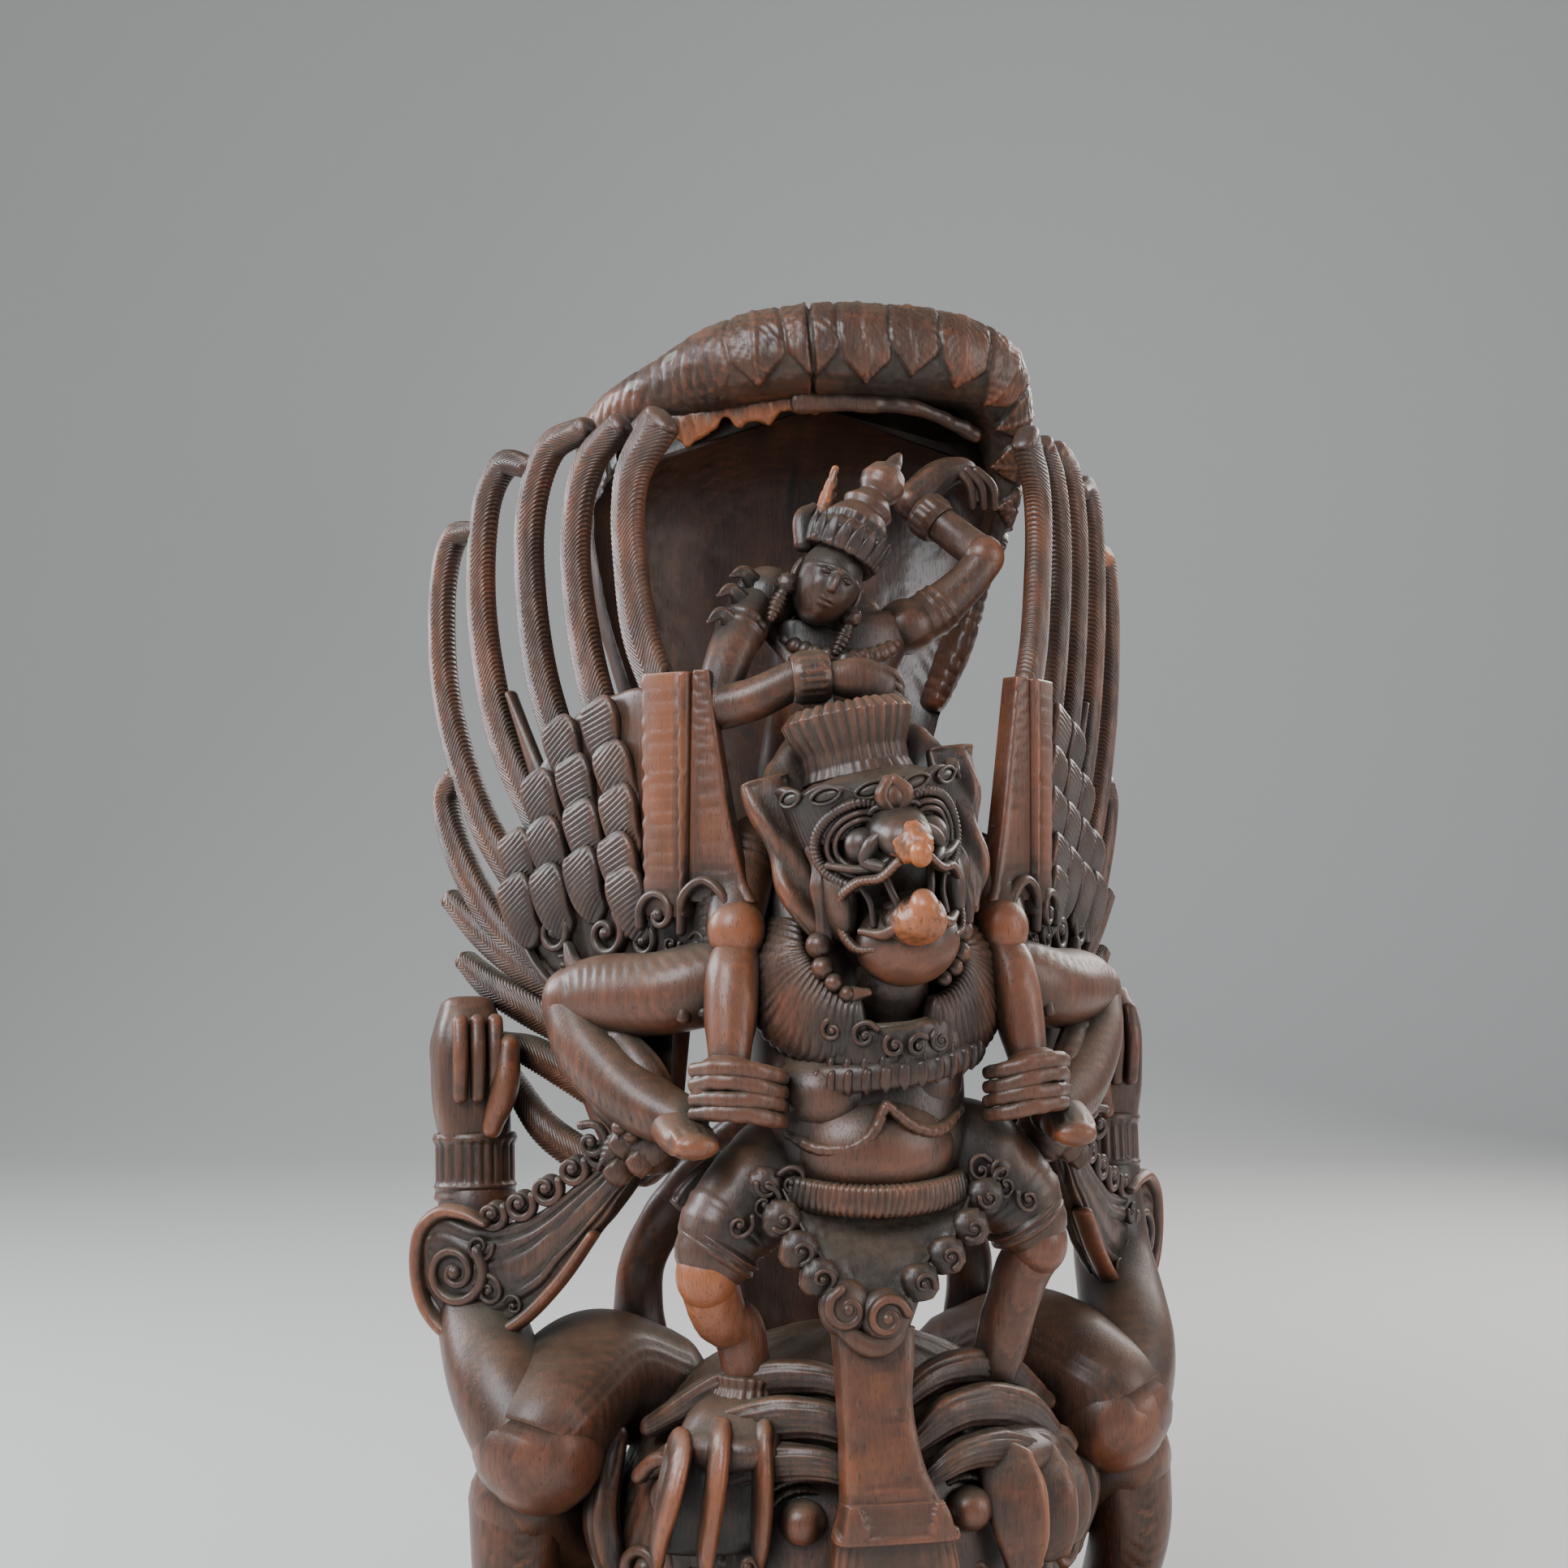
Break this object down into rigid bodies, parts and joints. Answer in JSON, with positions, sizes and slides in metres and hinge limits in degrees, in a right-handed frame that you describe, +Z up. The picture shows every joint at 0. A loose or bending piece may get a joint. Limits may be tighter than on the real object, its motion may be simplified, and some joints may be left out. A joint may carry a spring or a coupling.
{
  "type": "carved wooden figure group of a god riding an eagle",
  "caption": "Carved hardwood figure group: a seated god rides a winged eagle figure under a feather hood, held up by a crouching demon on a low base.",
  "frame": {"origin": "middle of the underside of the base", "axes": "+Z up along the trunk, the figures face -Y, +X to the right of someone who looks at the front"},
  "size_m": [0.4021, 0.2991, 0.7208],
  "materials": {
    "dark_hardwood": "dark stained hardwood, hand rubbed to a satin polish on raised forms, dusty in the recesses"
  },
  "bodies": {
    "root": {"vishnu_on_garuda_carving": "dark_hardwood"}
  },
  "joints": []
}
